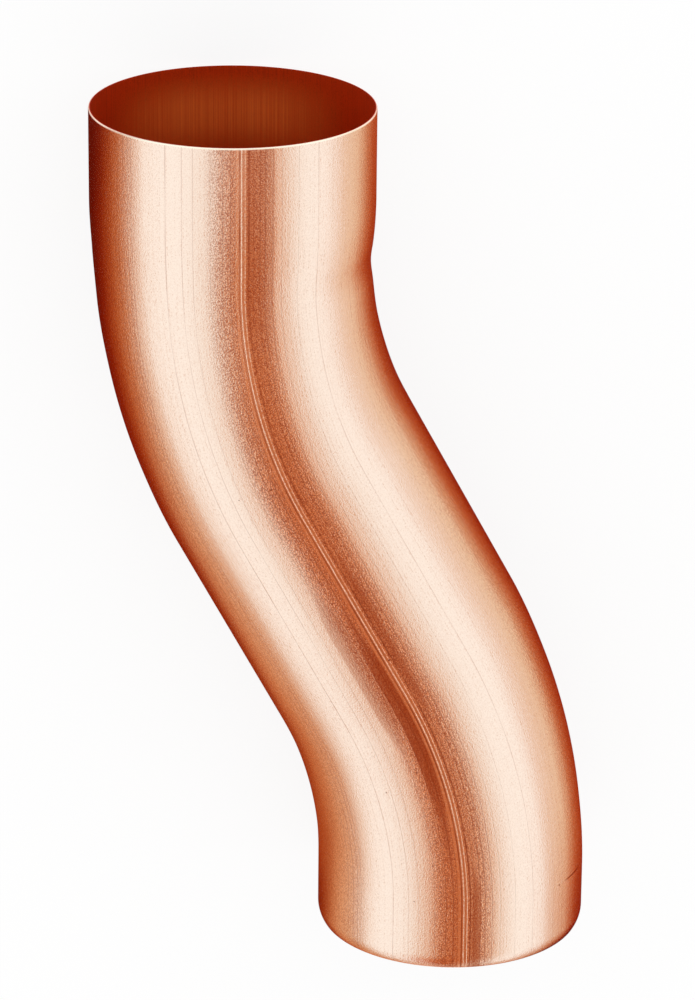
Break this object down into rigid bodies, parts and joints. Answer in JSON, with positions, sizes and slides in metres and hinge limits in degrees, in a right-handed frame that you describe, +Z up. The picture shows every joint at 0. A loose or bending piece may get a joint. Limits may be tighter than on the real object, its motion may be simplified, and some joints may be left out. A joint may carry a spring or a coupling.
{
  "type": "downpipe offset bend",
  "caption": "Round copper downpipe offset bend: a seam-welded tube bent twice, with a socket at its inlet and a plain spigot with a rolled-in lip at its outlet.",
  "frame": {"origin": "middle of the part's outline seen from above, on the surface that it lies on", "axes": "the part lies flat with +Z up and the weld seam on top; both ends run along Y, with the socket's mouth, the inlet, at +Y and the spigot at -Y, towards +X"},
  "size_m": [0.1866, 0.3244, 0.1044],
  "materials": {
    "copper": "mill-finish rolled copper sheet, lengthwise forming lines, seam weld brushed flat"
  },
  "bodies": {
    "root": {"offset_bend": "copper"}
  },
  "joints": []
}
